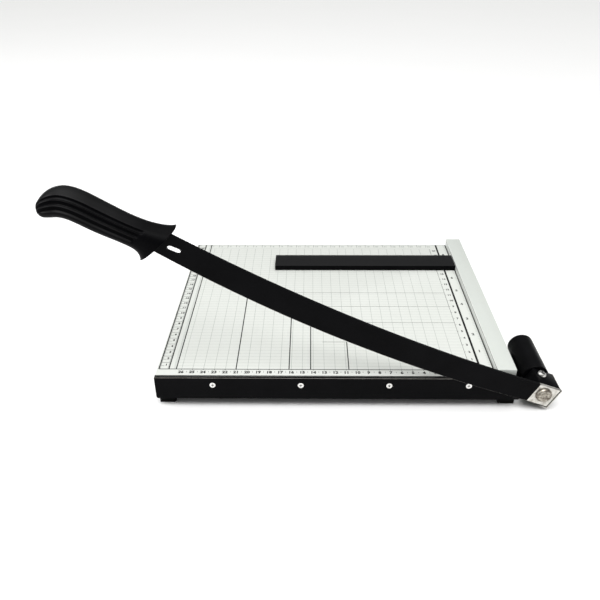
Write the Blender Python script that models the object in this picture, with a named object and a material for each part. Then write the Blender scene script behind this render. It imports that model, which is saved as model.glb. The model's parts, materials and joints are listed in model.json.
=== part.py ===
"""Guillotine paper cutter: a steel table with a fixed blade, a curved cutting arm on a sprung hinge, a fence and a
sliding paper stop.

Metres, +Z up. X runs along the cutting edge from the handle end to the pivot end, and Y from the cutting edge to the
table's far edge. The world's origin is under the middle of the whole cutter, on the surface it stands on.
"""

import math

import bmesh
import bpy
from mathutils import Matrix, Vector

# Driving dimensions of the table
TABLE_LENGTH = 0.324
TABLE_DEPTH = 0.268
TABLE_TOP = 0.033
FOOT_HEIGHT = 0.010
SHEET = 0.0015
FLANGE_WIDTH = 0.020
TABLE_LEFT = -0.1484
TABLE_FRONT = -0.12425
TABLE_RIGHT = TABLE_LEFT + TABLE_LENGTH
TABLE_BACK = TABLE_FRONT + TABLE_DEPTH

# Clearance between pieces that touch, and the number of sides of turned pieces
GAP = 0.0003
SIDES = 28
SCREW_SIDES = 16
HOUSING_SIDES = 40

# Fixed blade and its screws
BLADE_THICKNESS = 0.0029
BLADE_HEIGHT = 0.023
BLADE_PAST_TABLE = 0.0058
BLADE_FRONT = TABLE_FRONT - GAP - BLADE_THICKNESS
BLADE_SCREW_DROP = 0.0079
BLADE_SCREW_PLACES = (0.0522, 0.1317, 0.2111, 0.2822)
BLADE_SCREW_RADIUS = 0.0017
BLADE_SCREW_HEAD = 0.0028

# Fence and paper stop
FENCE_WIDTH = 0.0172
FENCE_HEIGHT = 0.0080
FENCE_SCREWS = 3
FENCE_SCREW_RADIUS = 0.0019
STOP_LENGTH = 0.2072
STOP_WIDTH = 0.0275
STOP_HEIGHT = 0.0060
STOP_OFFSET = 0.2005
MAGNET_LENGTH = 0.060
MAGNET_WIDTH = 0.016
MAGNET_HEIGHT = 0.0018

# Hinge: the axis runs along Y, past the table's pivot end
PIVOT_X = TABLE_LEFT + 0.3489
PIVOT_Z = TABLE_TOP - 0.0147
SHAFT_RADIUS = 0.0040
BORE_RADIUS = 0.0041
SHAFT_HEAD_RADIUS = 0.0072
HOUSING_RADIUS = 0.0123
HOUSING_BORE = 0.0096
HOUSING_WALL = 0.0040
HOUSING_START = TABLE_FRONT + 0.0195
HOUSING_END = TABLE_FRONT + 0.0703
PLATE_THICKNESS = 0.0028
PLATE_REACH = 0.034
RIB_HEIGHT = 0.0035
PLATE_SCREW_RADIUS = 0.0019
BUSH_OUTER = 0.0050
SPRING_RADIUS = 0.0070
SPRING_WIRE = 0.0008
SPRING_TURNS = 7
SPRING_START = TABLE_FRONT + 0.0265
SPRING_LENGTH = 0.0200
COLLAR_START = TABLE_FRONT + 0.0485
COLLAR_LENGTH = 0.0040
REAR_BUSH_START = TABLE_FRONT + 0.0545
REAR_BUSH_LENGTH = 0.0040
SHAFT_END = TABLE_FRONT + 0.0665
ARM_OPENS = math.radians(38.0)
ARM_CLOSES = math.radians(21.5)

# Hub block at the arm's pivot end: a leaning square, seen along the pivot's axis
HUB_ANGLE = math.radians(-20.0)
HUB_HALF = 0.0109
HUB_LEAN = 0.0015
HUB_SHIFT = 0.0011
HUB_DROP = 0.0018
HUB_BACK = HOUSING_START - 0.0008
HUB_SCREW_Y = TABLE_FRONT + 0.0105
HUB_SCREW_SHIFT = 0.0020
HUB_SCREW_HEAD = 0.0040
HUB_SCREW_RADIUS = 0.0023

# Cutting arm, in the plane across the pivot's axis: offsets are from the axis, with the arm at rest
ARM_THICKNESS = 0.0030
ARM_BACK = BLADE_FRONT - GAP
ARM_FRONT = ARM_BACK - ARM_THICKNESS
ARM_MIDDLE = (ARM_BACK + ARM_FRONT) / 2
ARM_TOP_END = Vector((-0.3254, 0.1614))
ARM_EDGE_END = Vector((-0.3404, 0.1456))
ARM_TOP_RADIUS = 1.737
ARM_EDGE_RADIUS = 1.335
ARM_POINTS = 24
EDGE_BEVEL = 0.0018
SLOT_CENTRE = Vector((-0.3169, 0.1439))
SLOT_ANGLE = math.radians(-25.0)
SLOT_LENGTH = 0.0114
SLOT_WIDTH = 0.0048

# Handle: offsets along its own axis, which starts at the guard and rises away from the arm
HANDLE_START = Vector((-0.3289, 0.1487))
HANDLE_ANGLE = math.radians(24.8)
TANG_START = 0.012
TANG_END = 0.058
TANG_HALF = 0.0070
HANDLE_SCREW_PLACES = (0.024, 0.048)
HANDLE_SCREW_RADIUS = 0.0017
HANDLE_RING = 28
HANDLE_SQUARENESS = 2.3
# Sections from the guard to the pommel: top point, bottom point (along the axis, across it) and half thickness
HANDLE_SECTIONS = (
    ((-0.0083, 0.0198), (0.0083, -0.0173), 0.0145),
    ((-0.0030, 0.0172), (0.0098, -0.0149), 0.0140),
    ((0.0040, 0.0151), (0.0123, -0.0120), 0.0133),
    ((0.0140, 0.0136), (0.0174, -0.0098), 0.0126),
    ((0.0260, 0.0134), (0.0280, -0.0090), 0.0124),
    ((0.0380, 0.0143), (0.0390, -0.0089), 0.0126),
    ((0.0510, 0.0156), (0.0500, -0.0085), 0.0129),
    ((0.0640, 0.0168), (0.0600, -0.0076), 0.0132),
    ((0.0740, 0.0165), (0.0690, -0.0071), 0.0134),
    ((0.0820, 0.0145), (0.0760, -0.0083), 0.0133),
    ((0.0885, 0.0099), (0.0820, -0.0114), 0.0126),
    ((0.0930, 0.0036), (0.0866, -0.0134), 0.0110),
    ((0.0951, -0.0028), (0.0900, -0.0131), 0.0080),
    ((0.0955, -0.0052), (0.0920, -0.0119), 0.0052),
)

# Feet
FOOT_SIZE = 0.0148
FOOT_LEFT_INSET = 0.0010
FOOT_RIGHT_OVERHANG = 0.0035
FOOT_FRONT_INSET = 0.0032
FOOT_RECESS = 0.0039
FOOT_SCREW_RADIUS = 0.0017

MATERIALS = {
    "table_paint": ((0.80, 0.83, 0.78), 0.45, 0.0),
    "fence_paint": ((0.72, 0.76, 0.72), 0.40, 0.0),
    "black_paint": ((0.010, 0.010, 0.011), 0.42, 0.0),
    "black_steel": ((0.012, 0.012, 0.013), 0.38, 0.3),
    "black_plastic": ((0.010, 0.010, 0.011), 0.50, 0.0),
    "rubber": ((0.012, 0.012, 0.012), 0.80, 0.0),
    "bright_steel": ((0.60, 0.59, 0.56), 0.28, 1.0),
    "spring_steel": ((0.30, 0.30, 0.31), 0.35, 1.0),
    "bronze": ((0.55, 0.38, 0.18), 0.40, 1.0),
    "magnet": ((0.05, 0.05, 0.05), 0.70, 0.2),
}


def clear_scene():
    for thing in list(bpy.data.objects):
        bpy.data.objects.remove(thing, do_unlink=True)


def material(name):
    """The named material, made on its first use."""
    made = bpy.data.materials.get(name)
    if made is None:
        colour, roughness, metallic = MATERIALS[name]
        made = bpy.data.materials.new(name)
        made.use_nodes = True
        shader = made.node_tree.nodes["Principled BSDF"]
        shader.inputs["Base Color"].default_value = (*colour, 1.0)
        shader.inputs["Roughness"].default_value = roughness
        shader.inputs["Metallic"].default_value = metallic
    return made


def add_object(name, mesh_builder, finish, parent=None, smooth=True):
    """A new object from a bmesh whose points are in world places; finish is None for a cutter."""
    bmesh.ops.recalc_face_normals(mesh_builder, faces=mesh_builder.faces)
    mesh = bpy.data.meshes.new(name)
    mesh_builder.to_mesh(mesh)
    mesh_builder.free()
    made = bpy.data.objects.new(name, mesh)
    bpy.context.scene.collection.objects.link(made)
    if finish is None:
        made.hide_render = True
        made.display_type = "WIRE"
    else:
        mesh.materials.append(material(finish))
        if smooth:
            mesh.shade_smooth()
            mesh.set_sharp_from_angle(angle=math.radians(35.0))
    if parent is not None:
        made.parent = parent
        made.matrix_parent_inverse = Matrix.Translation(-parent.location)
    return made


def box(name, low, high, finish, parent=None, rounding=0.0, steps=2, chosen=None):
    """A block between two corners, with its edges, or only the chosen ones, rounded."""
    low = Vector(low)
    high = Vector(high)
    builder = bmesh.new()
    bmesh.ops.create_cube(builder, size=1.0)
    bmesh.ops.scale(builder, vec=high - low, verts=builder.verts)
    bmesh.ops.translate(builder, vec=(low + high) / 2, verts=builder.verts)
    if rounding > 0:
        edges = [edge for edge in builder.edges if chosen is None or chosen(edge)]
        bmesh.ops.bevel(builder, geom=edges, offset=rounding, segments=steps, profile=0.5, affect="EDGES")
    return add_object(name, builder, finish, parent)


def turned(name, profile, centre, axis, finish, parent=None, sides=SIDES, hollow=False):
    """A turned piece: profile holds (distance along the axis, radius) and is a closed loop where the piece is hollow."""
    frames = {
        "X": (Vector((1, 0, 0)), Vector((0, 1, 0))),
        "Y": (Vector((0, 1, 0)), Vector((0, 0, 1))),
        "Z": (Vector((0, 0, 1)), Vector((1, 0, 0))),
    }
    along, across = frames[axis] if isinstance(axis, str) else axis
    centre = Vector(centre)
    builder = bmesh.new()
    points = [builder.verts.new(centre + along * place + across * radius) for place, radius in profile]
    pairs = list(zip(points, points[1:]))
    if hollow:
        pairs.append((points[-1], points[0]))
    edges = [builder.edges.new(pair) for pair in pairs]
    bmesh.ops.spin(
        builder, geom=points + edges, cent=centre, axis=along, angle=math.tau, steps=sides, use_merge=True
    )
    bmesh.ops.remove_doubles(builder, verts=builder.verts, dist=1e-6)
    return add_object(name, builder, finish, parent)


def extruded(name, outline, start, end, finish, parent=None, rounding=0.0):
    """A flat outline of (x, z) points, carried along Y from start to end."""
    builder = bmesh.new()
    face = builder.faces.new([builder.verts.new((x, start, z)) for x, z in outline])
    carried = bmesh.ops.extrude_face_region(builder, geom=[face])
    moved = [item for item in carried["geom"] if isinstance(item, bmesh.types.BMVert)]
    bmesh.ops.translate(builder, vec=(0, end - start, 0), verts=moved)
    if rounding > 0:
        bmesh.ops.bevel(
            builder, geom=list(builder.edges), offset=rounding, segments=2, profile=0.5, affect="EDGES"
        )
    return add_object(name, builder, finish, parent)


def cut(target, cutter, operation="DIFFERENCE"):
    change = target.modifiers.new(cutter.name, "BOOLEAN")
    change.operation = operation
    change.solver = "EXACT"
    change.object = cutter


def drill(target, centre, radius, start, end, axis, parent=None):
    """A round hole along an axis, between two distances from its centre."""
    name = f"hole_{target.name}_{len(target.modifiers)}"
    profile = ((start, 0.0), (start, radius), (end, radius), (end, 0.0))
    cut(target, turned(name, profile, centre, axis, None, parent, sides=SCREW_SIDES))


def cross_recess(target, centre, axis, size, depth, parent=None):
    """A cross-shaped driver recess that starts at the head's face and runs along the axis."""
    along, across = axis
    side = along.cross(across)
    for number, wide in enumerate(((size, size / 4), (size / 4, size))):
        builder = bmesh.new()
        bmesh.ops.create_cube(builder, size=1.0)
        turn = Matrix((across * wide[0], side * wide[1], along * depth * 2)).transposed().to_4x4()
        bmesh.ops.transform(builder, matrix=Matrix.Translation(centre) @ turn, verts=builder.verts)
        cut(target, add_object(f"recess_{target.name}_{number}", builder, None, parent))


def screw(name, centre, axis, head, finish="bright_steel", parent=None):
    """A screw whose head profile is given; its axis runs from the head's face to its tip."""
    made = turned(name, head, centre, axis, finish, parent, sides=SCREW_SIDES)
    widest = max(radius for _, radius in head)
    cross_recess(made, Vector(centre), axis, widest * 1.05, 0.0011, parent)
    return made


def pan_head(head_radius, head_height, radius, length):
    """Pan-head screw profile, from the middle of the head's face to the tip."""
    return (
        (0.0, 0.0),
        (0.0, head_radius * 0.62),
        (head_height * 0.18, head_radius * 0.86),
        (head_height * 0.55, head_radius),
        (head_height, head_radius),
        (head_height, radius),
        (head_height + length - radius * 0.6, radius),
        (head_height + length, radius * 0.55),
        (head_height + length, 0.0),
    )


def flat_head(head_radius, radius, length):
    """Countersunk screw profile."""
    cone = head_radius - radius
    return (
        (0.0, 0.0),
        (0.0, head_radius - 0.0001),
        (0.0002, head_radius),
        (0.0002 + cone, radius),
        (length - radius * 0.6, radius),
        (length, radius * 0.55),
        (length, 0.0),
    )


def nut(name, centre, axis, across_flats, bore, start, thickness, parent=None):
    """A hexagon nut on an axis, from start along it."""
    corner = across_flats / math.sqrt(3)
    profile = ((start, bore), (start, corner), (start + thickness, corner), (start + thickness, bore))
    builder = bmesh.new()
    along, across = axis
    side = along.cross(across)
    rings = []
    for place, radius in profile:
        count = 6 if radius == corner else 24
        ring = []
        for step in range(24):
            angle = math.tau * step / 24
            reach = radius
            if count == 6:
                off_flat = (angle % (math.tau / 6)) - math.tau / 12
                reach = across_flats / 2 / math.cos(off_flat)
            spot = Vector(centre) + along * place + (across * math.cos(angle) + side * math.sin(angle)) * reach
            ring.append(builder.verts.new(spot))
        rings.append(ring)
    for first, second in zip(rings, rings[1:] + rings[:1]):
        for step in range(24):
            following = (step + 1) % 24
            builder.faces.new((first[step], first[following], second[following], second[step]))
    return add_object(name, builder, "bright_steel", parent)


def arc(start, end, radius, count):
    """Points from start to end on a circle whose middle lies above the line between them."""
    chord = end - start
    middle = (start + end) / 2
    upward = Vector((-chord.y, chord.x)).normalized()
    if upward.y < 0:
        upward = -upward
    centre = middle + upward * math.sqrt(radius**2 - (chord.length / 2) ** 2)
    first = math.atan2(start.y - centre.y, start.x - centre.x)
    last = math.atan2(end.y - centre.y, end.x - centre.x)
    angles = [first + (last - first) * step / (count - 1) for step in range(count)]
    return [centre + Vector((math.cos(angle), math.sin(angle))) * radius for angle in angles]


def grown(outline, margin):
    """An outline, listed clockwise or not, moved outward by a margin."""
    area = sum(a.x * b.y - b.x * a.y for a, b in zip(outline, outline[1:] + outline[:1]))
    sign = 1 if area > 0 else -1
    result = []
    for index, point in enumerate(outline):
        before = (point - outline[index - 1]).normalized()
        after = (outline[(index + 1) % len(outline)] - point).normalized()
        first = Vector((before.y, -before.x)) * sign
        second = Vector((after.y, -after.x)) * sign
        result.append(point + (first + second) * margin / (1 + first.dot(second)))
    return result


def at_pivot(offset):
    """World (x, z) of an offset from the pivot's axis."""
    return Vector((PIVOT_X + offset[0], PIVOT_Z + offset[1]))


def hub_corner(along, across):
    """Corner of the hub's section, as an offset from the pivot; along and across are -1 or 1."""
    forward = Vector((math.cos(HUB_ANGLE), math.sin(HUB_ANGLE)))
    upward = Vector((-forward.y, forward.x))
    reach = HUB_SHIFT + along * HUB_HALF + across * HUB_LEAN
    return forward * reach + upward * (across * HUB_HALF - HUB_DROP)


def handle_point(along, across):
    """Offset from the pivot of a point in the handle's own frame."""
    axis = Vector((-math.cos(HANDLE_ANGLE), math.sin(HANDLE_ANGLE)))
    upward = Vector((axis.y, -axis.x))
    return HANDLE_START + axis * along + upward * across


def arm_outline():
    """The arm's outline as (x, z) points: top edge, tang, cutting edge and pivot end."""
    top = arc(hub_corner(-1, 1), ARM_TOP_END, ARM_TOP_RADIUS, ARM_POINTS)
    tang = [
        handle_point(TANG_START, TANG_HALF),
        handle_point(TANG_END, TANG_HALF),
        handle_point(TANG_END, -TANG_HALF),
        handle_point(TANG_START + 0.003, -TANG_HALF),
    ]
    edge = arc(ARM_EDGE_END, hub_corner(-1, -1), ARM_EDGE_RADIUS, ARM_POINTS)
    end = [hub_corner(1, -1), hub_corner(1, 1)]
    return [at_pivot(point) for point in top + tang + edge + end], len(top + tang), len(edge)


def make_table():
    low = Vector((TABLE_LEFT, TABLE_FRONT, FOOT_HEIGHT + GAP))
    high = Vector((TABLE_RIGHT, TABLE_BACK, TABLE_TOP))

    def rounded_edge(edge):
        middle = (edge.verts[0].co + edge.verts[1].co) / 2
        upright = abs(edge.verts[0].co.z - edge.verts[1].co.z) > SHEET
        on_top = middle.z > high.z - SHEET and middle.y > low.y + SHEET
        return (upright and middle.y > low.y + SHEET) or on_top

    tray = box("base_tray", low, high, "table_paint", rounding=0.0012, steps=3, chosen=rounded_edge)
    inside_low = low + Vector((SHEET, SHEET, SHEET))
    inside_high = high - Vector((SHEET, SHEET, SHEET))
    cut(tray, box("cutter_tray_inside", inside_low, inside_high, None))
    mouth_low = low + Vector((FLANGE_WIDTH, FLANGE_WIDTH, -SHEET))
    mouth_high = Vector((high.x - FLANGE_WIDTH, high.y - FLANGE_WIDTH, low.z + 2 * SHEET))
    cut(tray, box("cutter_tray_mouth", mouth_low, mouth_high, None))
    return tray


def make_fixed_blade(tray):
    low = (TABLE_LEFT, BLADE_FRONT, TABLE_TOP - BLADE_HEIGHT)
    high = (TABLE_RIGHT + BLADE_PAST_TABLE, BLADE_FRONT + BLADE_THICKNESS, TABLE_TOP)

    def lower_corner(edge):
        middle = (edge.verts[0].co + edge.verts[1].co) / 2
        crosswise = abs(edge.verts[0].co.y - edge.verts[1].co.y) > BLADE_THICKNESS / 2
        return crosswise and middle.z < low[2] + SHEET

    blade = box("fixed_blade", low, high, "black_steel", rounding=0.0020, steps=4, chosen=lower_corner)
    axis = (Vector((0, 1, 0)), Vector((0, 0, 1)))
    sunk = 0.0001
    head = flat_head(BLADE_SCREW_HEAD, BLADE_SCREW_RADIUS, 0.0100)
    seat = flat_head(BLADE_SCREW_HEAD + GAP, BLADE_SCREW_RADIUS + GAP, 0.0100)
    for label, along in enumerate(BLADE_SCREW_PLACES, start=1):
        place = Vector((TABLE_LEFT + along, BLADE_FRONT + sunk, TABLE_TOP - BLADE_SCREW_DROP))
        mouth = [(-0.001, 0.0), (-0.001, BLADE_SCREW_HEAD + GAP), *seat[2:]]
        cut(blade, turned(f"cutter_seat_{label}", mouth, place, axis, None, sides=SCREW_SIDES))
        drill(tray, place, BLADE_SCREW_RADIUS + GAP, 0.001, 0.009, "Y")
        screw(f"blade_screw_{label}", place, axis, head)
        nut_start = TABLE_FRONT + SHEET + GAP - place.y
        nut(f"blade_nut_{label}", place, axis, 0.0070, BLADE_SCREW_RADIUS + GAP, nut_start, 0.0030)


def make_fence(tray):
    low = (TABLE_RIGHT - FENCE_WIDTH, TABLE_FRONT + 0.0004, TABLE_TOP + GAP)
    high = (TABLE_RIGHT - 0.0002, TABLE_BACK, TABLE_TOP + FENCE_HEIGHT)
    fence = box("fence", low, high, "fence_paint", rounding=0.0009, steps=3)
    axis = (Vector((0, 0, 1)), Vector((1, 0, 0)))
    head_height = 0.0022
    head = pan_head(0.0036, head_height, FENCE_SCREW_RADIUS, 0.0070)
    for number in range(FENCE_SCREWS):
        depth = TABLE_FRONT + TABLE_DEPTH * (2 * number + 1) / (2 * FENCE_SCREWS)
        place = Vector((
            (low[0] + high[0]) / 2, depth, TABLE_TOP - SHEET - GAP - head_height
        ))
        drill(tray, place, FENCE_SCREW_RADIUS + GAP, head_height, 0.0060, "Z")
        drill(fence, place, FENCE_SCREW_RADIUS + GAP, 0.0030, head_height + 0.0080, "Z")
        screw(f"fence_screw_{number + 1}", place, axis, head)


def make_paper_stop():
    right = TABLE_RIGHT - FENCE_WIDTH - GAP
    low = Vector((right - STOP_LENGTH, TABLE_FRONT + STOP_OFFSET, TABLE_TOP + GAP))
    high = Vector((right, low.y + STOP_WIDTH, TABLE_TOP + STOP_HEIGHT))
    slide = bpy.data.objects.new("stop_slide", None)
    slide.location = (low + high) / 2
    bpy.context.scene.collection.objects.link(slide)
    bar = box("stop_bar", low, high, "black_paint", slide, rounding=0.0006)
    for number, share in enumerate((0.22, 0.78)):
        middle = low.x + STOP_LENGTH * share
        start = Vector((middle - MAGNET_LENGTH / 2, slide.location.y - MAGNET_WIDTH / 2, low.z))
        end = start + Vector((MAGNET_LENGTH, MAGNET_WIDTH, MAGNET_HEIGHT))
        margin = Vector((GAP, GAP, GAP))
        pocket = box(f"cutter_pocket_{number}", start - Vector((GAP, GAP, 0.001)), end + margin, None, slide)
        cut(bar, pocket)
        box(f"stop_magnet_{number + 1}", start, end, "magnet", slide)


def make_housing(tray):
    """The tube round the spring, on a plate that is screwed up under the table's flange."""
    axis_point = Vector((PIVOT_X, 0, PIVOT_Z))
    shell = ((HOUSING_START, 0.0), (HOUSING_START, HOUSING_RADIUS - 0.0006),
             (HOUSING_START + 0.0006, HOUSING_RADIUS), (HOUSING_END, HOUSING_RADIUS), (HOUSING_END, 0.0))
    housing = turned("hinge_housing", shell, axis_point, "Y", "black_paint", sides=HOUSING_SIDES)
    plate_top = FOOT_HEIGHT
    plate_low = (TABLE_RIGHT - PLATE_REACH, HOUSING_START + 0.0110, plate_top - PLATE_THICKNESS)
    plate_high = (PIVOT_X, HOUSING_END - 0.0025, plate_top)
    cut(housing, box("cutter_plate", plate_low, plate_high, None, rounding=0.0005), "UNION")
    for number, place in enumerate((HOUSING_START + 0.014, HOUSING_END - 0.008)):
        rib_low = (TABLE_RIGHT + 0.0008, place - 0.0015, plate_top - PLATE_THICKNESS / 2)
        rib_high = (PIVOT_X - HOUSING_RADIUS / 2, place + 0.0015, plate_top + RIB_HEIGHT)
        cut(housing, box(f"cutter_rib_{number}", rib_low, rib_high, None), "UNION")
    bore = ((HOUSING_START + HOUSING_WALL, 0.0), (HOUSING_START + HOUSING_WALL, HOUSING_BORE),
            (HOUSING_END + 0.002, HOUSING_BORE), (HOUSING_END + 0.002, 0.0))
    cut(housing, turned("cutter_bore", bore, axis_point, "Y", None, sides=HOUSING_SIDES))
    drill(housing, axis_point, BUSH_OUTER + GAP, HOUSING_START - 0.001, HOUSING_START + 0.006, "Y")
    leg = axis_point + Vector((0, 0, SPRING_RADIUS))
    drill(housing, leg, SPRING_WIRE + GAP, HOUSING_START + 0.0020, HOUSING_START + 0.006, "Y")

    axis = (Vector((0, 0, 1)), Vector((1, 0, 0)))
    head_height = 0.0020
    head = pan_head(0.0036, head_height, PLATE_SCREW_RADIUS, 0.0110)
    for number, place in enumerate((HOUSING_START + 0.018, HOUSING_END - 0.010)):
        centre = Vector((TABLE_RIGHT - 0.011, place, plate_top - PLATE_THICKNESS - GAP - head_height))
        label = number + 1
        drill(housing, centre, PLATE_SCREW_RADIUS + GAP, 0.001, 0.009, "Z")
        drill(tray, centre, PLATE_SCREW_RADIUS + GAP, 0.001, 0.012, "Z")
        screw(f"housing_screw_{label}", centre, axis, head)
        nut_start = FOOT_HEIGHT + GAP + SHEET + GAP - centre.z
        nut(f"housing_nut_{label}", centre, axis, 0.0070, PLATE_SCREW_RADIUS + GAP, nut_start, 0.0030)

    plug = HOUSING_BORE - GAP
    cap = ((HOUSING_END - 0.0028, 0.0), (HOUSING_END - 0.0028, plug), (HOUSING_END + GAP, plug),
           (HOUSING_END + GAP, HOUSING_RADIUS), (HOUSING_END + 0.0016, HOUSING_RADIUS),
           (HOUSING_END + 0.0026, HOUSING_RADIUS - 0.0010), (HOUSING_END + 0.0029, HOUSING_RADIUS - 0.0030),
           (HOUSING_END + 0.0029, 0.0))
    turned("housing_cap", cap, axis_point, "Y", "black_plastic", sides=HOUSING_SIDES)


def make_bearings():
    axis_point = Vector((PIVOT_X, 0, PIVOT_Z))
    front = HOUSING_START + GAP
    bush = ((front, BORE_RADIUS), (front, BUSH_OUTER), (front + HOUSING_WALL - GAP, BUSH_OUTER),
            (front + HOUSING_WALL - GAP, BORE_RADIUS))
    turned("front_bush", bush, axis_point, "Y", "bronze", hollow=True)
    outer = HOUSING_BORE - GAP
    end = REAR_BUSH_START + REAR_BUSH_LENGTH
    disc = ((REAR_BUSH_START, BORE_RADIUS), (REAR_BUSH_START, outer), (end, outer), (end, BORE_RADIUS))
    turned("rear_bush", disc, axis_point, "Y", "bronze", hollow=True)


def make_spring():
    """Torsion spring: a coil round the shaft, with a straight leg at each end along the axis."""
    front_leg = 0.0042
    rear_leg = 0.0042
    points = [Vector((SPRING_RADIUS, SPRING_START - front_leg, 0.0))]
    per_turn = 12
    count = SPRING_TURNS * per_turn
    for step in range(count + 1):
        share = step / count
        points.append(Vector((SPRING_RADIUS, SPRING_START + SPRING_LENGTH * share, math.tau * SPRING_TURNS * share)))
    points.append(Vector((SPRING_RADIUS, SPRING_START + SPRING_LENGTH + rear_leg, math.tau * SPRING_TURNS)))
    curve = bpy.data.curves.new("torsion_spring", "CURVE")
    curve.dimensions = "3D"
    curve.bevel_depth = SPRING_WIRE
    curve.bevel_resolution = 2
    curve.use_fill_caps = True
    line = curve.splines.new("POLY")
    line.points.add(len(points) - 1)
    for spot, (radius, place, angle) in zip(line.points, points):
        spot.co = (PIVOT_X + radius * math.sin(angle), place, PIVOT_Z + radius * math.cos(angle), 1.0)
    made = bpy.data.objects.new("torsion_spring", curve)
    bpy.context.scene.collection.objects.link(made)
    curve.materials.append(material("spring_steel"))


def make_feet(tray):
    axis = (Vector((0, 0, 1)), Vector((1, 0, 0)))
    half = FOOT_SIZE / 2
    behind = FOOT_FRONT_INSET + half
    head_height = 0.0020
    head = pan_head(0.0032, head_height, FOOT_SCREW_RADIUS, 0.0090)
    rows = (TABLE_FRONT + behind, TABLE_BACK - behind)
    columns = (TABLE_LEFT + FOOT_LEFT_INSET + half, TABLE_RIGHT + FOOT_RIGHT_OVERHANG - half)
    spots = [(x, y) for y in rows for x in columns]
    for label, (x, y) in enumerate(spots, start=1):
        foot = box(f"foot_{label}", (x - half, y - half, 0.0), (x + half, y + half, FOOT_HEIGHT), "rubber",
                   rounding=0.0008)
        centre = Vector((x, y, 0.0025))
        drill(foot, centre, FOOT_RECESS, -0.004, head_height + GAP, "Z")
        drill(foot, centre, FOOT_SCREW_RADIUS + GAP, 0.001, 0.010, "Z")
        drill(tray, centre, FOOT_SCREW_RADIUS + GAP, 0.006, 0.012, "Z")
        screw(f"foot_screw_{label}", centre, axis, head)


def make_blade_arm(pivot):
    outline, edge_first, edge_count = arm_outline()
    builder = bmesh.new()
    face = builder.faces.new([builder.verts.new((x, ARM_BACK, z)) for x, z in outline])
    carried = bmesh.ops.extrude_face_region(builder, geom=[face])
    front = [item for item in carried["geom"] if isinstance(item, bmesh.types.BMVert)]
    bmesh.ops.translate(builder, vec=(0, ARM_FRONT - ARM_BACK, 0), verts=front)
    edge_points = outline[edge_first:edge_first + edge_count]
    inner = grown(outline, -EDGE_BEVEL)[edge_first:edge_first + edge_count]
    for vertex in front:
        for point, moved in zip(edge_points, inner):
            if (Vector((vertex.co.x, vertex.co.z)) - point).length < 1e-6:
                vertex.co.x = moved.x
                vertex.co.z = moved.y
                break
    arm = add_object("blade_arm", builder, "black_steel", pivot)

    reach = (SLOT_LENGTH - SLOT_WIDTH) / 2
    direction = Vector((math.cos(SLOT_ANGLE), math.sin(SLOT_ANGLE)))
    capsule = []
    for side in (1, -1):
        for step in range(9):
            angle = SLOT_ANGLE + side * math.pi / 2 - side * math.pi / 2 + (step / 8 - 0.5) * math.pi
            angle += 0 if side > 0 else math.pi
            tip = Vector((math.cos(angle), math.sin(angle))) * SLOT_WIDTH / 2
            capsule.append(at_pivot(SLOT_CENTRE + direction * reach * side + tip))
    cut(arm, extruded("cutter_slot", capsule, ARM_FRONT - 0.001, ARM_BACK + 0.001, None, pivot))
    middle = Vector((PIVOT_X, 0, PIVOT_Z))
    drill(arm, middle, BORE_RADIUS, ARM_FRONT - 0.001, ARM_BACK + 0.001, "Y", pivot)
    for place in HANDLE_SCREW_PLACES:
        spot = at_pivot(handle_point(place, 0.0))
        centre = Vector((spot.x, ARM_MIDDLE, spot.y))
        drill(arm, centre, HANDLE_SCREW_RADIUS + GAP, -0.003, 0.003, "Y", pivot)
    return outline


def make_hub(pivot):
    corners = [at_pivot(hub_corner(along, across)) for along, across in ((-1, 1), (1, 1), (1, -1), (-1, -1))]
    hub = extruded("hub_block", corners, ARM_BACK + GAP, HUB_BACK, "black_paint", pivot, rounding=0.0008)
    middle = Vector((PIVOT_X, 0, PIVOT_Z))
    drill(hub, middle, BORE_RADIUS, ARM_BACK - 0.001, HUB_BACK + 0.001, "Y", pivot)

    downward = Vector((math.sin(HUB_ANGLE), 0, -math.cos(HUB_ANGLE)))
    across = Vector((0, 1, 0))
    head_height = 0.0026
    shank = HUB_HALF - HUB_DROP - SHAFT_RADIUS - 2 * GAP
    top = HUB_HALF - HUB_DROP + GAP + head_height
    sideways = Vector((downward.z, 0, -downward.x)) * HUB_SCREW_SHIFT
    place = middle - downward * top + sideways + Vector((0, HUB_SCREW_Y, 0))
    drill(hub, place, HUB_SCREW_RADIUS + GAP, 0.001, top, (downward, across), pivot)
    head = pan_head(HUB_SCREW_HEAD, head_height, HUB_SCREW_RADIUS, shank)
    screw("hub_screw", place, (downward, across), head, parent=pivot)


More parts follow.
